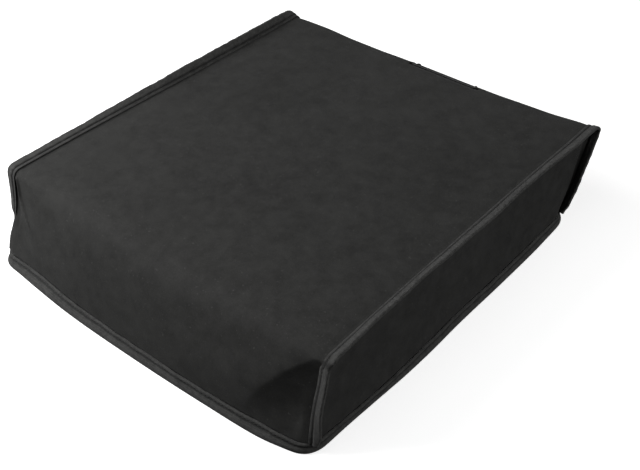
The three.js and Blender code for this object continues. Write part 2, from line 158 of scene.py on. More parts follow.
def smooth_table(table):
    """A curve through the rows of a table. Its slope at each row is the mean of the two straight
    slopes beside it, and it is level at both ends. It gives all columns for any array of places."""
    places, values = table[:, 0], table[:, 1:]
    secants = np.diff(values, axis=0) / np.diff(places)[:, None]
    slopes = np.zeros_like(values)
    slopes[1:-1] = (secants[:-1] + secants[1:]) / 2

    def curve(place):
        place = np.clip(place, places[0], places[-1])
        k = np.clip(np.searchsorted(places, place, side="right") - 1, 0, len(places) - 2)
        step = (places[k + 1] - places[k])[..., None]
        t = (place - places[k])[..., None] / step
        return (values[k] * (1 + 2 * t) * (1 - t) ** 2 + slopes[k] * step * t * (1 - t) ** 2
                + values[k + 1] * t * t * (3 - 2 * t) + slopes[k + 1] * step * t * t * (t - 1))
    return curve


section_at = smooth_table(SECTIONS)
seam_at = smooth_table(SEAMS)
side_hem_at = smooth_table(SIDE_HEM)
print("the panel's section at its middle:", section_at(np.array([0.0]))[0].tolist())

# %% [markdown]
# ## The long panel as a surface
#
# A point of the panel is found from two numbers: how far across it lies, from -1 at the left
# seam to 1 at the right, and a row, which counts along the path from the front hem to the back
# hem. Every stretch of the path is a quadratic curve between two points, pulled towards a third.
# On a straight run the third point is simply the middle. So one formula covers all stretches,
# and whole arrays of points go through it at once.

# %% Soft steps and bells
def unit(vectors):
    """Each vector divided by its length."""
    return vectors / np.maximum(np.linalg.norm(vectors, axis=-1, keepdims=True), 1e-12)


def smoothstep(x, low, high):
    """0 below low and 1 above high, with a soft rise between: 3t² - 2t³."""
    t = np.clip((x - low) / (high - low), 0, 1)
    return t * t * (3 - 2 * t)


def window(x, rise, fall):
    """From 0 to 1 over the rise and back to 0 over the fall: one soft step times another's rest."""
    return smoothstep(x, *rise) * (1 - smoothstep(x, *fall))


def bell(x, middle, reach):
    """A bell that is 1 at its middle: exp(-((x - middle) / reach)²)."""
    return np.exp(-((x - middle) / reach) ** 2)


print("a window half way up its rise:", window(0.5, (0, 1), (2, 3)))


# %% Panel surface
def station_of(row):
    """The row as a station: 0 at the front hem, 1 at the bend, 2 at the fold, 3 at the back hem."""
    return np.interp(row, [0, ROWS_FRONT, ROWS_FRONT + ROWS_TOP, ROWS], [0, 1, 2, 3])


def corner_turn(distance_to_seam):
    """How far the lower edge has turned back at a rounded corner: R - sqrt(R² - into²)."""
    reach = HEM_CORNER * np.sqrt(0.5)
    into = np.clip(reach - distance_to_seam, 0, reach)
    return HEM_CORNER - np.sqrt(HEM_CORNER ** 2 - into ** 2)


def tangent_point(corner, towards, other, radius):
    """Where a rounding of this radius leaves the straight run: radius / tan(half the angle) from
    the corner."""
    run = unit(towards - corner)
    half = np.arccos(np.clip((run * unit(other - corner)).sum(-1), -1, 1)) / 2
    return corner + run * (radius / np.tan(half))[..., None]


def facet_width(across, row):
    """The width of the facet beside the nearer seam, as a share of the half width."""
    return np.where(across < 0, np.interp(row, *FACETS[-1]), np.interp(row, *FACETS[1]))


def panel_point(across, row):
    """The long panel's outer face in millimetres: a quadratic curve in each stretch of the path,
    a(1-t)² + 2bt(1-t) + ct², with a sine-shaped bulge on the front. The bulge fades over both
    facets, and more sharply low down on the left."""
    across, row = np.broadcast_arrays(np.asarray(across, float), np.asarray(row, float))
    columns = np.moveaxis(section_at(across), -1, 0)
    hem_y, full_bulge, bend_y, bend_z, bend_radius, fold_y, fold_z, fold_radius, back_y, _ = columns
    turn = corner_turn(MEAN_WIDTH * (1 - abs(across)))
    pair = lambda y, z: np.stack(np.broadcast_arrays(y, z), axis=-1)
    hem, bend = pair(hem_y + turn, HEM_TOP), pair(bend_y, bend_z)
    fold, back = pair(fold_y, fold_z), pair(back_y - turn, HEM_TOP)
    bend_start = tangent_point(bend, hem, fold, bend_radius)
    bend_end = tangent_point(bend, fold, hem, bend_radius)
    fold_start = tangent_point(fold, bend, back, fold_radius)
    fold_end = tangent_point(fold, back, bend, fold_radius)
    first = np.stack([hem, bend_start, bend_end, fold_start, fold_end])
    last = np.stack([bend_start, bend_end, fold_start, fold_end, back])
    pull = (first + last) / 2
    pull[1], pull[3] = bend, fold
    stretch = np.clip(np.searchsorted(STARTS, row, side="right") - 1, 0, len(STEPS) - 1)
    t = ((row - STARTS[stretch]) / STEPS[stretch])[..., None]
    pick = lambda points: np.take_along_axis(points, stretch[None, ..., None], axis=0)[0]
    yz = pick(first) * (1 - t) ** 2 + pick(pull) * 2 * t * (1 - t) + pick(last) * t * t

    rise = np.clip(row / STEPS[0], 0, 1)
    within = np.clip((1 - abs(across)) / facet_width(across, row), 0, 1)
    crisp = np.where(across < 0, 2 - smoothstep(row, 3.5, 5.5), 1)
    share = 1 - (1 - within) ** crisp
    seam_bulge = np.where(across < 0, SECTIONS[0, 2], SECTIONS[-1, 2])
    bulge = seam_bulge + (full_bulge - seam_bulge) * share
    y = yz[..., 0] - bulge * np.sin(np.pi * rise)
    seam = seam_at(station_of(row))
    x = across * np.where(across < 0, seam[..., 0], seam[..., 2])
    return np.stack([x, y, yz[..., 1]], axis=-1)


def placed(points):
    """Millimetres in the layout to metres in the part's own frame."""
    return (points + ORIGIN) / 1000


print("front seams meet the hem at", np.round(placed(panel_point(np.array([-1, 1]), 0)), 4).tolist())


# %% Seam directions
def seam_frame(side, row):
    """The seam at each row: its point, the way along it, the long panel's normal there, and the
    angle by which its tape leans from that normal towards the side."""
    point = panel_point(side, row)
    along = panel_point(side, np.minimum(row + 0.5, ROWS)) - panel_point(side, np.maximum(row - 0.5, 0))
    along[..., 0] = 0
    along = unit(along)
    normal = np.stack([0 * along[..., 0], -along[..., 2], along[..., 1]], axis=-1)
    lean = np.radians(seam_at(station_of(row))[..., 1 if side < 0 else 3])
    return point, along, normal, lean


def leaning(side, normal, lean):
    """The way that a tape stands out: normal × cos(lean) + sideways × sin(lean)."""
    return normal * np.cos(lean)[..., None] + np.array([side, 0, 0]) * np.sin(lean)[..., None]


def seam_out(side, row):
    """The way that the seam's tape stands out at each row."""
    _, _, normal, lean = seam_frame(side, row)
    return leaning(side, normal, lean)


print("at the hem and the bend the right tape points",
      seam_out(1, np.array([0, ROWS_FRONT])).round(2).tolist())

# %% [markdown]
# ## From a grid of points to a cloth piece
#
# Every sheet here is a grid of points. A subdivided plane with a lattice could be bent to the
# same shape, but a grid keeps the formula in sight. The helper below turns it into a mesh with
# a UV map in metres of cloth, so that a weave keeps its real size and follows the cloth round
# each bend. A Solidify modifier then gives the sheet its thickness, inwards from the face that
# shows.

# %% Mesh helper
PANEL_CLOTH = 0.8  # thickness of the coated cloth as modelled
TAPE_CLOTH = 0.4  # thickness of the tape before it is folded


def cloth_mesh(name, grid, uv, thickness, keep=None, painted_shade=None):
    """Makes an object from grid[i, j] in millimetres. Quads run i then j, so that i cross j points
    outwards. uv is the same grid in metres of cloth. keep is a mask of cells. The last argument is
    painted shade, kept as an attribute: how much the colour darkens where shade falls, from 0 up."""
    columns, rows = grid.shape[:2]
    index = np.arange(columns * rows).reshape(columns, rows)
    cells = np.ones((columns - 1, rows - 1), bool) if keep is None else keep
    corners = [(slice(None, -1), slice(None, -1)), (slice(1, None), slice(None, -1)),
               (slice(1, None), slice(1, None)), (slice(None, -1), slice(1, None))]
    quads = np.stack([index[c][cells] for c in corners], axis=-1)
    used, quads = np.unique(quads, return_inverse=True)
    quads = quads.reshape(-1, 4)
    mesh = bpy.data.meshes.new(name)
    mesh.from_pydata(placed(grid.reshape(-1, 3)[used]), [], quads.tolist())
    loops = np.stack([uv[c][cells] for c in corners], axis=1).reshape(-1, 2)
    mesh.uv_layers.new(name="cloth").uv.foreach_set("vector", loops.astype(np.float32).ravel())
    mesh.polygons.foreach_set("use_smooth", np.ones(len(quads), bool))
    if painted_shade is not None:
        values = np.broadcast_to(painted_shade, (columns, rows)).reshape(-1)[used].astype(np.float32)
        mesh.attributes.new("painted_shade", "FLOAT", "POINT").data.foreach_set("value", values)
    piece = bpy.data.objects.new(name, mesh)
    bpy.context.scene.collection.objects.link(piece)
    solidify = piece.modifiers.new("thickness", "SOLIDIFY")
    solidify.thickness = thickness / 1000
    solidify.offset = -1
    solidify.use_even_offset = False
    print(name, len(quads), "quads")
    return piece


# %% Grid helpers
def normals_of(grid):
    """The unit normal at each grid point: the slope along i crossed with the slope along j."""
    return unit(np.cross(np.gradient(grid, axis=0), np.gradient(grid, axis=1)))


def cumulative(points):
    """Length along a line of points, from 0 at its first."""
    return np.concatenate([[0], np.cumsum(np.linalg.norm(np.diff(points, axis=0), axis=1))])


def softened(grid, axis, times):
    """The grid blended with its neighbours along one axis, each pass (before + 2 × here + after) / 4."""
    grid = np.moveaxis(grid, axis, 0).copy()
    for _ in range(times):
        grid[1:-1] = (grid[:-2] + 2 * grid[1:-1] + grid[2:]) / 4
    return np.moveaxis(grid, 0, axis)


def graded(*stretches):
    """Places from several stretches (from, to, steps), each divided evenly, with no place twice."""
    return np.unique(np.concatenate([np.linspace(a, b, n + 1) for a, b, n in stretches]).round(9))


def even_places(lengths, spacing):
    """Places along a line, this far apart as nearly as its whole length allows."""
    return np.linspace(0, lengths[-1], int(round(lengths[-1] / spacing)) + 1)


def at_places(places, lengths, points):
    """Points or directions at these places along their line, where lengths says how far along
    each one is."""
    return np.stack([np.interp(places, lengths, column) for column in points.T], axis=-1)


print("four places, graded:", graded((0, 1, 1), (1, 2, 2)).tolist())

# %% [markdown]
# ## Gentle unevenness
#
# A real cloth is never quite flat. A displacement texture could do this too, but a sum of a few
# slow waves is easy to fade out where the cloth is sewn down. The swells are a fraction of
# a millimetre high. Their phases are drawn from fixed seeds, so they come out the same each time.

# %% Slow waves
def swell(u, v, length, seed, waves=7):
    """A smooth bumpy function of two coordinates, about -1 to 1: a sum of cosines whose directions
    and phases come from a seeded generator and whose wavelengths lie round the given length."""
    draw = np.random.default_rng(seed)
    total = 0
    for _ in range(waves):
        turn, phase = draw.uniform(0, 2 * np.pi, 2)
        k = 2 * np.pi / (length * draw.uniform(0.7, 1.6))
        total = total + np.cos(k * (u * np.cos(turn) + v * np.sin(turn)) + phase)
    return total / waves ** 0.5 / 1.4


print("the same place in three swells:", [round(float(swell(0, 0, 50, seed)), 2) for seed in (1, 2, 3)])

# %% [markdown]
# ## The long panel
#
# The panel's grid is finer by the seams, where the cloth turns up into the outward seam and
# disappears inside the tape. That turn is a push along the tape's own direction, which fades out
# within a few millimetres. The front has two flat facets by its corners, where the stiff cloth
# buckles. Both are a little hollow. The left one has a raised crease along its edge, and the
# right one is tucked in behind its tape. Low down on the left the panel's edge stands straight
# out and hides its tape. A cloth simulation would buckle somewhere else, so the facets are
# drawn as formulas.

# %% Long panel grid
NOTCH = (-15 / MEAN_WIDTH, 56 / MEAN_WIDTH)  # the cable notch's two edges, across
TURNED_IN = 8  # cloth beyond each seam, folded into the tape
HEM_CLOTH = 22  # cloth beyond each hem line, down behind the hem tape and sewn into it

ACROSS = graded((-1, -0.955, 16), (-0.955, -0.7, 24), (-0.7, NOTCH[0], 36), (*NOTCH, 24),
                (NOTCH[1], 0.68, 22), (0.68, 0.955, 30), (0.955, 1, 16))
PANEL_ROWS = graded((0, 9, 56), (9, 15, 26), (15, 32, 96), (32, 36, 14), (36, 46, 44))

across, rows = np.meshgrid(ACROSS, PANEL_ROWS, indexing="ij")
from_seam = MEAN_WIDTH * (1 - abs(across))
panel = panel_point(across, rows)
panel[:, 1:-1] = softened(panel, 1, 5)[:, 1:-1]
# the front bend is rounder than its table's radius, except close to the seams
bend_share = window(rows, (2, 7), (16, 20)) * smoothstep(from_seam, 8, 45)
panel += (softened(panel, 1, 45) - panel) * bend_share[..., None]
run = cumulative(panel_point(0, PANEL_ROWS))
panel_uv = np.stack([across * MEAN_WIDTH, np.broadcast_to(run, across.shape)], axis=-1) / 1000
print("the panel is cut about", round(2 * (MEAN_WIDTH + TURNED_IN)), "by",
      round(run[-1] + 2 * HEM_CLOTH), "mm")

# %% Swells, hollows and the left crease
free = smoothstep(from_seam, 0, 30) * smoothstep(rows, 0, 4) * smoothstep(ROWS - rows, 0, 4)
u, v = panel_uv[..., 0] * 1000, panel_uv[..., 1] * 1000
lift = (0.5 * swell(u, v, 160, 3) + 0.16 * swell(u, v, 46, 5)) * free

width = facet_width(across, rows) * MEAN_WIDTH
inside = np.clip(from_seam / width, 0, 1)  # 0 at the seam, 1 at the facet's edge
tucked = window(rows, (0.5, 3.5), (9.5, 12.4)) * (across > 0)
rim = np.maximum(smoothstep(inside, 0, 0.2), tucked)
hollow = (1 - inside) * rim * window(rows, (-0.5, 4.5), (10, 12.4))
depth = np.where(across > 0, np.minimum(0.20 * width, 4.5), np.minimum(0.1 * width, 1.6))
lift -= depth * hollow
crease = bell(from_seam, width, 1.2) * window(rows, (4.0, 5.5), (9, 11)) * (across < 0)
lift += 1.5 * crease

# by the tucked edge the push has no sideways part, so that the cloth still meets its tape
push = normals_of(panel)
push[..., 0] *= 1 - tucked * (1 - smoothstep(from_seam, 2, 12))
panel += push * lift[..., None]
print("the cloth is moved by", lift.min().round(2), "to", lift.max().round(2), "mm")

# %% Turn the panel up into its seams
CURL = 2.2  # how far the cloth runs up inside the tape
CURL_REACH = 2.8  # how far from the seam that starts
BARE_ROWS = (3.5, 5.0)  # below these rows the left edge isn't covered by its tape
BARE_WAY = np.array([-1, -0.15, 0])  # and turns this way


def curled(grid, distance, out, height=CURL):
    """The grid pushed along `out` by height × (1 - distance / CURL_REACH)², within that reach."""
    push = height * np.clip(1 - distance / CURL_REACH, 0, 1) ** 2
    return grid + out * push[..., None]


for side in (-1, 1):
    bare = (1 - smoothstep(PANEL_ROWS, *BARE_ROWS))[:, None] * (side < 0)
    out = seam_out(side, PANEL_ROWS) * (1 - bare) + BARE_WAY * bare
    near = np.where(across * side > 0, from_seam, CURL_REACH)
    panel = curled(panel, near, out[None], CURL * (1 - tucked * (side > 0)))

cells = np.ones((len(ACROSS) - 1, len(PANEL_ROWS) - 1), bool)
notch_columns = (ACROSS[:-1] > NOTCH[0] - 1e-6) & (ACROSS[1:] < NOTCH[1] + 1e-6)
cells[np.ix_(notch_columns, PANEL_ROWS[:-1] > NOTCH_ROW - 1e-6)] = False
long_panel = cloth_mesh("long_panel", panel, panel_uv, PANEL_CLOTH, keep=cells)

# %% [markdown]
# ## The side panels
#
# Each side panel is a patch stretched between four edges: the two upright seams, the top seam
# and the hem. A flat sheet cut to the outline would leave slits where those edges bow. A patch
# like this, known as a Coons patch, adds a blend of the side edges to a blend of the top and
# bottom ones and takes away what was counted twice. Its edges also turn outwards into the tape.

# %% Side panel edges
def side_edge(side, row, behind=1.1):
    """The seam's point moved behind the tape and behind the long panel by the same distance."""
    point, _, normal, lean = seam_frame(side, row)
    point = point - normal * behind
    point[..., 0] += side * behind * np.tan(np.pi / 4 - lean / 2)
    return point


def side_hem(side, along):
    """The side panel's lower edge from 0 at the front seam to 1 at the back one: a line between
    its ends, with its table's stand-out added, and both ends turned in round the corners."""
    front, back = side_edge(side, np.array([0.0, ROWS]))
    y = front[1] + (back[1] - front[1]) * along
    straight = abs(front[0]) + (abs(back[0]) - abs(front[0])) * along
    straight = straight + HEM_CORNER * (1 - np.sqrt(0.5)) + side_hem_at(along)[..., 0]
    x = side * (straight - corner_turn(np.minimum(y - front[1], back[1] - y)))
    return np.stack([x, y, np.full_like(y, HEM_TOP)], axis=-1)


print("half way along, the right hem is at", side_hem(1, np.array([0.5])).round(1)[0].tolist())

# %% Side panel grids
SIDE_ROWS = graded((12, 15, 16), (15, 16, 14), (16, 31, 100), (31, 32, 14), (32, 34, 10))
UP = graded((0, 0.85, 52), (0.85, 1, 22))


def side_panel(side, name, recess, seed):
    """A Coons patch between the seam and the hem: hem-to-top line, plus how far each upright edge
    departs from its own straight line, shared by the distance from it. A hollow of this recess
    pulls its middle in."""
    top = side_edge(side, SIDE_ROWS)
    front = side_edge(side, UP * ROWS_FRONT)
    back = side_edge(side, ROWS - UP * ROWS_FRONT)
    front[0, 2] = back[0, 2] = HEM_TOP
    y = panel_point(side, SIDE_ROWS)[:, 1]
    along = ((y - y[0]) / (y[-1] - y[0]))[:, None]
    up = UP[None, :]
    hem = side_hem(side, along[:, 0])
    blend = lambda low, high: low[:, None] * (1 - up[..., None]) + high[:, None] * up[..., None]
    grid = blend(hem, top)
    grid = grid + (front[None] - blend(front[:1], front[-1:])) * (1 - along)[..., None]
    grid = grid + (back[None] - blend(back[:1], back[-1:])) * along[..., None]
    hollow = np.sin(np.pi * along) ** 0.6 * np.sin(np.pi * up)
    flat_y, flat_z = grid[..., 1], grid[..., 2]
    waves = 0.45 * swell(flat_y, flat_z, 110, seed) + 0.12 * swell(flat_y, flat_z, 34, seed + 1)
    grid[..., 0] -= side * (recess * hollow - waves * hollow ** 0.5)

    from_top = np.linalg.norm(grid - grid[:, -1:], axis=-1)
    from_front = np.linalg.norm(grid - grid[:1], axis=-1)
    from_back = np.linalg.norm(grid - grid[-1:], axis=-1)
    grid = curled(grid, from_top, seam_out(side, SIDE_ROWS)[:, None])
    shared = (1 - np.clip(1 - from_top / CURL_REACH, 0, 1) ** 2)[..., None]
    grid = curled(grid, from_front, seam_out(side, UP * ROWS_FRONT)[None] * shared)
    grid = curled(grid, from_back, seam_out(side, ROWS - UP * ROWS_FRONT)[None] * shared)
    uv = np.stack([np.broadcast_to(y[:, None], flat_z.shape), flat_z], axis=-1) / 1000
    if side < 0:
        grid, uv = grid[::-1], uv[::-1]
    return cloth_mesh(name, grid, uv, PANEL_CLOTH)


left_panel = side_panel(-1, "left_panel", recess=2.0, seed=11)
right_panel = side_panel(1, "right_panel", recess=3.0, seed=17)

# %% [markdown]
# ## Folded tape
#
# Binding tape is a flat ribbon, folded lengthwise over an edge and sewn through. In section it
# is a narrow U. A curve with a bevel shape could carry such a section too, but would turn it
# freely at each bend. Here the section is worked out once as a line of points, with a groove
# where the stitching pulls it in and fine ribs from its weave, and is then carried along the
# seam with its own direction at each point. The face that lies on the cloth is flatter than the
# free one. It is an open sheet like the real one, so Solidify gives it its thickness too.

# %% Tape section
TAPE_WIDTH = 9.8  # how far the folded tape stands out of its seam
TAPE_END = 7.6  # and at both hems
GROOVE = 3.1  # from the seam to the stitching
FAT = 1.25  # half the thickness in the roll outside the stitching
PINCHED = 0.36  # and under the stitches
RIB_PITCH = 0.95


def tape_face(s, flat):
    """How far one face lies from the middle of the tape, at s from the seam: flat as far as the
    stitching, which pulls it in by a bell-shaped groove, and fat in the roll outside it, with
    fine ribs."""
    rolled = smoothstep(s, GROOVE - 0.4, GROOVE + 1.8)
    face = flat + (FAT - flat) * rolled + 0.04 * np.cos(2 * np.pi * s / RIB_PITCH)
    return face - (face - PINCHED) * bell(s, GROOVE, 0.8)


def tape_section(width, flats=(1.1, 1.1), start=0.3):
    """The U of a folded tape, as distance from the seam and from the tape's middle: up one face,
    round the fold as a half circle, and down the other. flats are its faces' own half
    thicknesses by the seam."""
    s = np.linspace(start, width - FAT, 30)
    turn = np.linspace(0, np.pi, 11)[1:-1]
    distance = np.concatenate([s, width - FAT + FAT * np.sin(turn), s[::-1]])
    half = np.concatenate([tape_face(s, flats[0]), FAT * np.cos(turn), -tape_face(s, flats[1])[::-1]])
    return distance, half


def tape_surface(root, along, out, widths, **shape):
    """The tape's section carried along a path: root + out × distance + face × half thickness,
    and its UV map in metres."""
    face = unit(np.cross(along, out))
    far, half = np.moveaxis(np.array([tape_section(width, **shape) for width in widths]), 1, 0)
    grid = root[:, None] + out[:, None] * far[..., None] + face[:, None] * half[..., None]
    around = cumulative(grid[len(grid) // 2])
    uv = np.stack(np.broadcast_arrays(around[None, :], cumulative(root)[:, None]), axis=-1) / 1000
    return grid, uv


print("the tape stands", TAPE_WIDTH, "mm out and is up to", 2 * FAT, "mm thick")

# %% Seam tapes
MITRE_ROW = 10.9  # where the right tape is folded over itself, on the front bend
MITRE_CUT = 2.6  # how much narrower it is there
MITRE_SINK = 0.8  # and how much deeper it lies
SLIPPED = np.array([1.2, 1.5, 0])  # how far the left tape's lower end lies in and back


def seam_path(side, spacing=1.4):
    """Rows along a seam, evenly spaced in millimetres."""
    rows_fine = np.linspace(0, ROWS, 1800)
    lengths = cumulative(panel_point(side, rows_fine))
    return np.interp(even_places(lengths, spacing), lengths, rows_fine)


def seam_tape(side, name, seed):
    """Tape over one seam. Its lean and width waver a little. At both hems it narrows, folds back
    against the side and goes under the hem tape. The right one has a fold with a notch at the
    front corner, and the left one slips behind the long panel's bare edge low down."""
    row = seam_path(side)
    point, along, normal, lean = seam_frame(side, row)
    length = cumulative(point)
    ending = 1 - smoothstep(np.minimum(length, length[-1] - length), 0, 9)
    lean = lean + np.radians(2.5 * swell(length, 0, 52, seed)) + np.radians(8) * ending
    out = leaning(side, normal, lean)
    width = TAPE_WIDTH - (TAPE_WIDTH - TAPE_END) * ending
    width = width + 0.25 * swell(length, 0, 31, seed + 4) + 0.22 * swell(length, 0, 6, seed + 9)
    mitre = bell(row, MITRE_ROW, 0.9) * (side > 0)
    width = width - MITRE_CUT * mitre
    point = point - MITRE_SINK * normal * mitre[:, None]
    slipped = (1 - smoothstep(row, *BARE_ROWS)) * (side < 0)
    point = point + slipped[:, None] * SLIPPED
    flats = (0.75, 1.15) if side < 0 else (1.15, 0.75)
    grid, uv = tape_surface(point, along, out, width, flats=flats)

    far = tape_section(TAPE_WIDTH)[0]
    uneven = 0.85 + 0.3 * swell(length, 0, 8, seed + 6)
    # painted shade: the colour is darkened in the stitched groove, on the flat part between seam and
    # stitching, and at the mitre fold
    painted_shade = bell(far, GROOVE, 0.9)[None] * uneven[:, None]
    painted_shade = painted_shade + 0.2 * (far < GROOVE)[None] + 1.2 * mitre[:, None]
    if side < 0:
        grid, uv, painted_shade = grid[:, ::-1], uv[:, ::-1], painted_shade[:, ::-1]
    return cloth_mesh(name, grid, uv, TAPE_CLOTH, painted_shade=painted_shade), (point, along, out, length)


left_tape, left_seam = seam_tape(-1, "left_seam_tape", seed=21)
right_tape, right_seam = seam_tape(1, "right_seam_tape", seed=23)

# %% [markdown]
# ## The hem tape
#
# The lower edge is bound in the same tape. Its upper edge is rolled proud of the cloth, the
# stitching makes a hollow under it, and its foot flares out and carries the cover. The seam
# tape's formula has no foot, so this section is a table of its own. How far the foot flares
# changes along the front, as the photograph shows.

# %% Hem line
front_across = np.linspace(-1, 1, 420)
back_right = np.linspace(1, NOTCH[1], 130)
back_left = np.linspace(NOTCH[0], -1, 150)
round_side = np.linspace(0, 1, 520)
hem_line = np.concatenate([
    panel_point(back_left, ROWS), side_hem(-1, round_side[::-1])[6:-6],
    panel_point(front_across, 0), side_hem(1, round_side)[6:-6],
    panel_point(back_right, ROWS)])
hem_length = cumulative(hem_line)
hem_line = at_places(even_places(hem_length, 1.5), hem_length, hem_line)
hem_line[1:-1] = softened(hem_line, 0, 14)[1:-1]
hem_length = cumulative(hem_line)
print("the hem tape is", round(hem_length[-1]), "mm long at its upper edge")

# %% Flare of the foot
heading = unit(np.gradient(hem_line, axis=0))
hem_out = unit(np.stack([heading[:, 1], -heading[:, 0], 0 * heading[:, 0]], axis=-1))
hem_out[[0, -1]] = [0, 1, 0]
front_flare = section_at(np.clip(hem_line[:, 0] / MEAN_WIDTH, -1, 1))[:, -1]
end_flare = np.where(hem_out[:, 1] < 0, front_flare, BACK_FLARE)
front_y, back_y = side_edge(1, np.array([0.0, ROWS]))[:, 1]
side_flare = side_hem_at((hem_line[:, 1] - front_y) / (back_y - front_y))[:, 1]
flare = softened(side_flare + (end_flare - side_flare) * hem_out[:, 1] ** 2, 0, 8)
print("the foot flares by", flare.min().round(1), "to", flare.max().round(1), "mm")

# %% Hem tape
# distance out, share of the flare, height: from the proud upper edge down the outside, round the
# foot and up the inside
HEM_SECTION = np.array([
    [0.30, 0.00, 9.05], [0.95, 0.00, 9.25], [1.75, 0.00, 8.95], [2.20, 0.00, 8.20], [1.95, 0.02, 7.40],
    [1.10, 0.06, 6.70], [0.70, 0.14, 6.00], [1.25, 0.30, 5.30], [1.55, 0.52, 4.20], [1.10, 0.78, 2.80],
    [0.45, 0.94, 1.50], [0.05, 1.00, 0.75], [-0.35, 1.00, 0.20], [-1.00, 0.98, 0.00], [-1.75, 0.95, 0.00],
    [-2.35, 0.90, 0.30], [-2.55, 0.80, 1.00], [-2.20, 0.58, 2.40], [-1.70, 0.35, 4.20], [-1.45, 0.15, 6.00],
    [-1.40, 0.05, 7.50], [-1.40, 0.00, 8.60]])
HEM_GROOVE = 6.2  # height of its stitching


def resampled(table, count):
    """The table's columns along its own length at `count` even places."""
    length = cumulative(table[:, [0, 2]])
    smooth = smooth_table(np.column_stack([length, table]))
    return smooth(np.linspace(0, length[-1], count))


section = resampled(HEM_SECTION, 58)
far, share, height = section.T
around = cumulative(section[:, [0, 2]])
flutter = 0.35 * swell(hem_length, 0, 42, 31) + 0.15 * swell(hem_length, 0, 17, 32)
loose = smoothstep(height, 0.4, 4) * (height > 0.05)
out_by = far[None] + share[None] * flare[:, None] + flutter[:, None] * loose[None] * (far > -1)[None]
ribs = 0.05 * np.cos(2 * np.pi * around / RIB_PITCH) * smoothstep(height, 0.6, 1.6)
hem_grid = hem_line[:, None] + hem_out[:, None] * (out_by + ribs[None])[..., None]
lifted = height[None] + 0.12 * flutter[:, None] * smoothstep(height, 3, 8)[None]
hem_grid[..., 2] = np.maximum(lifted, 0)
hem_uv = np.stack(np.broadcast_arrays(around[None, :], hem_length[:, None]), axis=-1) / 1000
# painted shade: the hem tape's colour is darkened along its stitched groove
painted_shade = bell(height, HEM_GROOVE, 0.8) * (far > 0)
hem_tape = cloth_mesh("hem_tape", hem_grid[:, ::-1], hem_uv[:, ::-1], TAPE_CLOTH,
                      painted_shade=painted_shade[None, ::-1])

# %% [markdown]
# ## The cable notch
#
# The notch in the back lets the cables out. A third length of tape runs up its left edge, along
# its top and down its right edge. From the photograph's side only its top shows, as a short
# bound edge over the back fold. It could be three straight pieces, but the real tape is one
# length, so one path turns both corners.

# %% Notch tape
NOTCH_TAPE = 7.0  # how far this tape stands out of the notch's edge
OVERLAP = 1.8  # how far this tape reaches over the cut edge
FOOT_HEIGHT = 0.4  # where its two ends stop above the floor
CORNER_INSET = 3.5 / MEAN_WIDTH  # leaves room for the path to turn at each corner


def notch_path():
    """The notch's edge, up, across and down, with the way that its tape stands at each point. The
    two legs point into the notch and the top points backwards, and the corners turn smoothly."""
    climb = np.linspace(ROWS, NOTCH_ROW + 1.2, 60)
    over = np.linspace(NOTCH[0] + CORNER_INSET, NOTCH[1] - CORNER_INSET, 50)
    left_leg = panel_point(NOTCH[0], climb)
    right_leg = panel_point(NOTCH[1], climb)[::-1]
    top = panel_point(over, NOTCH_ROW) + np.array([0, 0, -0.6])
    left_leg[:, 1] -= 0.4
    right_leg[:, 1] -= 0.4
    foot = lambda end, after: end + (end - after) * ((end[2] - FOOT_HEIGHT) / (after[2] - end[2]))
    path = np.concatenate([[foot(left_leg[0], left_leg[1])], left_leg, top,
                           right_leg, [foot(right_leg[-1], right_leg[-2])]])
    out = np.concatenate([np.tile([1.0, 0, 0], (len(left_leg) + 1, 1)),
                          np.tile([0, 0.91, -0.41], (len(top), 1)),
                          np.tile([-1.0, 0, 0], (len(right_leg) + 1, 1))])
    length = cumulative(path)
    places = even_places(length, 1.2)
    path, out = at_places(places, length, path), at_places(places, length, out)
    path[1:-1], out[1:-1] = softened(path, 0, 8)[1:-1], softened(out, 0, 14)[1:-1]
    along = unit(np.gradient(path, axis=0))
    out = unit(out - along * (out * along).sum(-1, keepdims=True))
    return path, along, out


notch_root, notch_along, notch_out = notch_path()
notch_seam = (notch_root, notch_along, notch_out, cumulative(notch_root))
notch_grid, notch_uv = tape_surface(notch_root, notch_along, notch_out,
                                    np.full(len(notch_root), NOTCH_TAPE), start=-OVERLAP)
notch_far = tape_section(NOTCH_TAPE, start=-OVERLAP)[0]
# painted shade: the whole notch tape is darkened, by at least 0.8, and most in its groove, as it lies in
# shade
notch_tape = cloth_mesh("notch_tape", notch_grid, notch_uv, TAPE_CLOTH,
                        painted_shade=np.maximum(bell(notch_far, GROOVE, 0.9), 0.8)[None])

# %% [markdown]
# ## Stitches
#
# Lockstitches hold each tape. One stitch is a short thread that dips into the tape at both ends.
# A bump texture could hint at them, but real threads catch the light from every side. One is
# worked out and set down along every groove, a few dozen faces each, so that even over
# a thousand of them stay light.

# %% Stitch helper
PITCH = 3.2
HALF_STITCH = 0.44  # of the pitch
THREAD = 0.24  # radius
ARCH, SINK = 0.34, 0.22  # height of the arch, and how deep its ends lie
SLANT = 0.07
RINGS, SPOKES = 6, 6


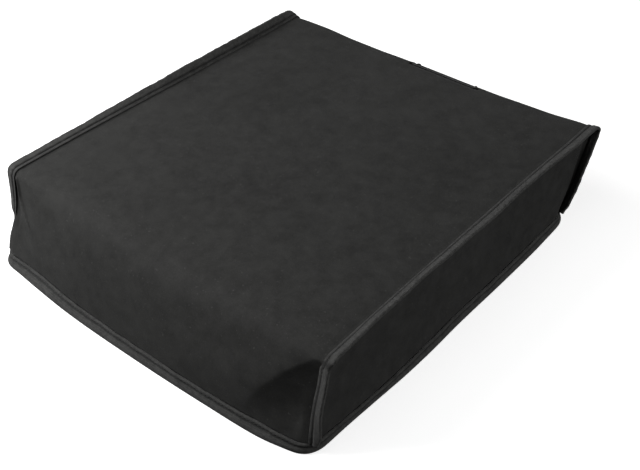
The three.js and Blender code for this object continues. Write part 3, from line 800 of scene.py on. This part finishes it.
def stitch_rows(name, rows_of_stitches):
    """Thread stitches as one mesh. Each is a six-sided tube bent as an arch: its height over the
    tape is 1 - x², and its ends sink in. rows_of_stitches holds (point, along, face) arrays."""
    x = np.linspace(-1, 1, RINGS)
    turn = np.linspace(0, 2 * np.pi, SPOKES, endpoint=False)
    radius = THREAD * np.sqrt(np.clip(1.15 - x ** 6, 0.15, 1))
    length = (x * PITCH * HALF_STITCH)[:, None, None]
    width = (radius[:, None] * np.cos(turn))[..., None]
    high = (ARCH * (1 - x[:, None] ** 2) - SINK + radius[:, None] * np.sin(turn))[..., None]
    vertices = []
    for point, along, face in rows_of_stitches:
        wide = unit(np.cross(face, along))
        slant = unit(along + SLANT * wide)
        centre, slant, wide, face = (each[:, None, None] for each in (point, slant, wide, face))
        vertices.append(centre + slant * length + wide * width + face * high)
    vertices = np.concatenate(vertices)
    count = len(vertices)
    ring, spoke = np.meshgrid(np.arange(RINGS - 1), np.arange(SPOKES), indexing="ij")
    corner = lambda r, s: (r * SPOKES + s % SPOKES).ravel()
    quads = np.stack([corner(ring, spoke), corner(ring, spoke + 1),
                      corner(ring + 1, spoke + 1), corner(ring + 1, spoke)], axis=-1)
    quads = (quads[None] + RINGS * SPOKES * np.arange(count)[:, None, None]).reshape(-1, 4)
    mesh = bpy.data.meshes.new(name)
    mesh.from_pydata(placed(vertices.reshape(-1, 3)), [], quads.tolist())
    mesh.polygons.foreach_set("use_smooth", np.ones(len(quads), bool))
    piece = bpy.data.objects.new(name, mesh)
    bpy.context.scene.collection.objects.link(piece)
    print(name, count, "stitches")
    return piece


def along_path(values, length):
    """The rows of an array at each stitch's place along a path."""
    return at_places(np.arange(PITCH, length[-1] - PITCH, PITCH), length, values)


# %% Stitches on the tapes
THREAD_HEIGHT = 0.40  # from the middle of a folded tape to its threads


def both_faces(root, along, out, length):
    """A row of stitches in the groove on each face of a folded tape."""
    face = unit(np.cross(along, out))
    found = []
    for way in (1, -1):
        point = along_path(root + out * GROOVE + face * THREAD_HEIGHT * way, length)
        found.append((point, unit(along_path(along, length)), unit(along_path(face * way, length))))
    return found


left_stitches = stitch_rows("left_seam_stitches", both_faces(*left_seam))
right_stitches = stitch_rows("right_seam_stitches", both_faces(*right_seam))
notch_stitches = stitch_rows("notch_stitches", both_faces(*notch_seam))

groove = int(np.argmin(abs(height[:len(height) // 2] - HEM_GROOVE)))
normals = normals_of(hem_grid[:, ::-1])[:, ::-1][:, groove]
hem_stitches = stitch_rows("hem_stitches", [
    (along_path(hem_grid[:, groove] + 0.1 * normals, hem_length),
     unit(along_path(heading, hem_length)),
     unit(along_path(normals, hem_length)))])

# %% [markdown]
# ## Writing shader maths as Python
#
# A material is a graph of nodes. They could be added and linked one by one, but a short sum then
# takes a dozen lines. So a small class wraps one socket, and `+`, `-` and `*` on it add Math
# nodes. A second class builds one material: its `node` method adds any other node from its
# type, its settings and its sockets' values.

# %% Socket maths
class Value:
    """A number that varies over the surface: one socket of a material's graph."""

    def __init__(self, tree, socket):
        self.tree = tree
        self.socket = socket

    def math(self, operation, *others, clamp=False):
        """A Math node on this value and the others."""
        node = self.tree.nodes.new("ShaderNodeMath")
        node.operation = operation
        node.use_clamp = clamp
        for socket, value in zip(node.inputs, (self, *others)):
            if isinstance(value, Value):
                self.tree.links.new(value.socket, socket)
            else:
                socket.default_value = value
        return Value(self.tree, node.outputs[0])

    def __add__(self, other):
        return self.math("ADD", other)

    def __sub__(self, other):
        return self.math("SUBTRACT", other)

    def __rsub__(self, other):
        return (self * -1) + other

    def __mul__(self, other):
        return self.math("MULTIPLY", other)

    __radd__, __rmul__ = __add__, __mul__

    def sine(self):
        return self.math("SINE")

    def size(self):
        return self.math("ABSOLUTE")

    def between(self, low, high):
        """0 below low, 1 above high and a straight ramp between."""
        return ((self - low) * (1 / (high - low))).math("ADD", 0.0, clamp=True)


# %% Material helper
class Finish:
    """One material: a Principled shader with its constants set on its own sockets."""

    def __init__(self, name, **constants):
        self.material = bpy.data.materials.new(name)
        self.material.use_nodes = True
        self.tree = self.material.node_tree
        self.shader = self.tree.nodes["Principled BSDF"]
        self.uses(**constants)

    def feed(self, socket, value):
        """A value, or a link, into a socket."""
        if isinstance(value, Value):
            self.tree.links.new(value.socket, socket)
        else:
            socket.default_value = value

    def node(self, kind, output=0, settings=None, numbered=None, **sockets):
        """Any node: its settings first, then values or links for its sockets, by name, or by
        number where two share a name."""
        node = self.tree.nodes.new(kind)
        for key, value in (settings or {}).items():
            setattr(node, key, value)
        for number, value in (numbered or {}).items():
            self.feed(node.inputs[number], value)
        for key, value in sockets.items():
            self.feed(node.inputs[key.replace("_", " ")], value)
        return Value(self.tree, node.outputs[output])

    def noise(self, where, scale, detail=3.0, roughness=0.55):
        """Cloudy noise, about 0 to 1."""
        return self.node("ShaderNodeTexNoise", Vector=where, Scale=scale, Detail=detail,
                         Roughness=roughness)

    def mix(self, share, low, high):
        """Two colours mixed by a value."""
        return self.node("ShaderNodeMix", output=2, settings={"data_type": "RGBA"},
                         numbered={0: share, 6: low, 7: high})

    def uses(self, **values):
        """Sets or links the shader's own sockets."""
        for socket, value in values.items():
            self.feed(self.shader.inputs[socket.replace("_", " ")], value)
        return self.material


def shade(level, tint=(1.0, 1.0, 1.0)):
    """A grey of this linear level as a colour, slightly tinted."""
    return (*(level * t for t in tint), 1.0)


# %% [markdown]
# ## The cloth
#
# The panels are a fine plain weave with a matt coating: near-black, with faint clouds where the
# coating lies thicker, a little lint, and hardly any sheen. Warp and weft pass over each other
# in turn, and that is what the weave's formula says: in each cell of a chequerboard one of the
# two yarns is on top, and its rounded back is the height. A picture of cloth could be laid on
# instead, but it would blur close up, and a formula is sharp at any distance.

# %% Cloth material
WARM = (1.0, 1.0, 0.965)  # the tint of every finish on the cover
WARP, WEFT = 0.62, 0.55  # millimetres from yarn to yarn


def weave(finish, across_yarns, along_yarns):
    """Plain weave height from the UV map, 0 to 1, for two yarn spacings in millimetres. The
    product of two sines changes sign from cell to cell, and that sign chooses the yarn on top."""
    uv = finish.node("ShaderNodeTexCoord", output="UV")
    u = finish.node("ShaderNodeSeparateXYZ", output="X", Vector=uv)
    v = finish.node("ShaderNodeSeparateXYZ", output="Y", Vector=uv)
    a = (u * (np.pi * 1000 / across_yarns)).sine()
    b = (v * (np.pi * 1000 / along_yarns)).sine()
    over = (a * b * 3).between(-1, 1)
    return a.size() * over + b.size() * (1 - over)


def cloth_finish(name, level):
    """The coated plain weave at one level of grey."""
    finish = Finish(name, Specular_IOR_Level=0.06, Sheen_Weight=0.06, Sheen_Roughness=0.5)
    place = finish.node("ShaderNodeTexCoord", output="Object")
    clouds = finish.noise(place, 11, 4, 0.6)
    mottle = finish.noise(place, 95, 4, 0.65)
    grain = finish.noise(place, 900, 2, 0.7)
    lint = finish.noise(place, 620, 1, 0.4).between(0.70, 0.80)
    yarns = weave(finish, WARP, WEFT)
    tone = (clouds - 0.5) * 0.7 + (mottle - 0.5) * 1.5 + (grain - 0.5) * 0.8 + (yarns - 0.5) * 0.22 + 0.5
    cloth = finish.mix(tone.between(0, 1), shade(level * 0.62, WARM), shade(level * 1.38, WARM))
    colour = finish.mix(lint * 0.7, cloth, shade(level * 2.6, WARM))
    roughness = 0.70 + (mottle - 0.5) * 0.25 - yarns * 0.06
    bump = finish.node("ShaderNodeBump", Strength=0.55, Distance=0.00012,
                       Height=yarns + mottle * 1.2 + grain * 0.5)
    return finish.uses(Base_Color=colour, Roughness=roughness, Normal=bump)


cloth = cloth_finish("coated_cloth", level=0.0232)
print(cloth.name, "has", len(cloth.node_tree.nodes), "nodes")

# %% [markdown]
# ## The tape and its thread
#
# The tape is a ribbed ribbon without the coating, so it looks a little greyer and rougher than
# the cloth. Its ribs run along it and fine cross yarns lie between them. Patches are worn
# lighter. Painted shade darkens the stitched grooves, the flat part by each seam, the mitre fold
# and the whole notch tape, where little light gets in. How much comes from the mesh's own
# attribute, so that the dark line follows the stitches. The thread is a shade darker and smoother.

# %% Tape and thread materials
CROSS_YARN = 0.42  # millimetres from yarn to yarn along the tape


def tape_finish(name, level):
    """Ribbed tape: fine yarns across, broad ribs along, patches worn lighter, painted shade in grooves."""
    finish = Finish(name, Specular_IOR_Level=0.20, Sheen_Weight=0.10, Sheen_Roughness=0.5)
    place = finish.node("ShaderNodeTexCoord", output="Object")
    wear = finish.noise(place, 160, 4, 0.7)
    fuzz = finish.noise(place, 1400, 2, 0.7)
    yarns = weave(finish, RIB_PITCH, CROSS_YARN)
    speckle = finish.noise(place, 420, 2, 0.6)
    painted_shade = finish.node("ShaderNodeAttribute", output="Fac", settings={"attribute_name": "painted_shade"})
    tone = (wear - 0.5) * 1.3 + (speckle - 0.5) * 1.2 + (fuzz - 0.5) * 0.5 + (yarns - 0.5) * 0.5 + 0.5
    # painted shade: the attribute darkens the colour in grooves, at folds and on the notch tape
    tone = tone - painted_shade * 0.75
    colour = finish.mix(tone.between(0, 1), shade(level * 0.35, WARM), shade(level * 1.65, WARM))
    roughness = 0.78 + (wear - 0.5) * 0.2
    bump = finish.node("ShaderNodeBump", Strength=0.7, Distance=0.00018,
                       Height=yarns + wear * 0.8 + fuzz * 0.4)
    return finish.uses(Base_Color=colour, Roughness=roughness, Normal=bump)


def thread_finish(name, level):
    """Twisted thread: a fine noise for its fibres."""
    finish = Finish(name, Specular_IOR_Level=0.4)
    place = finish.node("ShaderNodeTexCoord", output="Object")
    fibres = finish.noise(place, 2600, 2, 0.6)
    colour = finish.mix(fibres, shade(level * 0.6, WARM), shade(level * 1.4, WARM))
    return finish.uses(Base_Color=colour, Roughness=0.5 + (fibres - 0.5) * 0.3)


tape = tape_finish("binding_tape", level=0.034)
thread = thread_finish("thread", level=0.022)
print(tape.name, "has", len(tape.node_tree.nodes), "nodes and", thread.name, len(thread.node_tree.nodes))

# %% [markdown]
# ## Putting the pieces in place
#
# Each piece rides on the model's one body, takes the place of its CAD node, which is hidden,
# and gets its finish. The stitches belong to their tape and ride on the same body. They could be
# joined to the tape's mesh, but as pieces of their own they keep their own finish and can be
# switched off.

# %% Materials, bodies and sheets
PIECES = [
    (long_panel, "main_panel", cloth, "cloth", (0.324, 0.505), "draped", ["hem_tape"]),
    (left_panel, "side_panel_left", cloth, "cloth", (0.335, 0.084), "hung", ["left_seam_tape"]),
    (right_panel, "side_panel_right", cloth, "cloth", (0.335, 0.084), "hung", ["right_seam_tape"]),
    (left_tape, "binding_left", tape, "tape", (0.0205, 0.490), "folded", ["long_panel"]),
    (right_tape, "binding_right", tape, "tape", (0.0205, 0.490), "folded", ["long_panel"]),
    (hem_tape, "hem_binding", tape, "tape", (0.0215, 1.240), "folded", ["long_panel"]),
    (notch_tape, "notch_binding", tape, "tape", (0.0185, 0.210), "folded", ["long_panel"]),
]

for piece, node, material, slot, flat, held, rests_on in PIECES:
    piece.data.materials.append(material)
    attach(piece, "root")
    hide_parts(node)
for stitches in (left_stitches, right_stitches, hem_stitches, notch_stitches):
    stitches.data.materials.append(thread)
    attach(stitches, "root")

# %% [markdown]
# ## Floor and light
#
# The photograph is a studio picture on white. A sheet of white paper and one large lamp could
# give it, but then the paper would throw light back up the sides. So the floor glows a little by
# itself and isn't seen by diffuse or glossy rays. It stays white with a faint shadow, and the
# right side stays as dark as in the photograph. Three soft lights do the rest: the key hangs low
# and close at the front left, the fill comes from the right, and a weak one hangs high in front.

# %% Floor
bpy.ops.mesh.primitive_plane_add(size=40)
floor = bpy.context.object
floor.name = "floor"
paper = Finish("paper", Roughness=0.9, Specular_IOR_Level=0.0,
               Emission_Color=(1, 1, 1, 1), Emission_Strength=0.60)
cloudy = paper.noise(paper.node("ShaderNodeTexCoord", output="Object"), 6, 2, 0.5)
floor.data.materials.append(paper.uses(Base_Color=paper.mix(cloudy, shade(0.90), shade(0.94))))
floor.visible_diffuse = False
floor.visible_glossy = False
floor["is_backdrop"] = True
print("the floor is", floor.dimensions.x, "m wide")


# %% Light
def soft_light(name, place, size, power):
    """A square area light at a place, facing the cover."""
    data = bpy.data.lights.new(name, "AREA")
    data.size = size
    data.energy = power
    light = bpy.data.objects.new(name, data)
    light.location = place
    light.rotation_euler = Vector(place).to_track_quat("Z", "Y").to_euler()
    bpy.context.scene.collection.objects.link(light)
    print(name, "light at", place, "with", power, "W")


soft_light("key", (-0.49, -0.40, 0.48), size=0.65, power=8.6)
soft_light("fill", (1.50, 0.25, 0.87), size=1.2, power=16.5)
soft_light("top", (0.0, -0.80, 1.60), size=0.9, power=2.8)
world = bpy.data.worlds.new("studio")
world.use_nodes = True
background = world.node_tree.nodes["Background"]
background.inputs["Color"].default_value = (1, 1, 1, 1)
background.inputs["Strength"].default_value = 0.03
bpy.context.scene.world = world
bpy.context.scene.view_settings.view_transform = "Standard"

# %% Sizes
visual_box = [list(corner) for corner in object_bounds()]
print("visual box:", np.round(visual_box, 3).tolist())
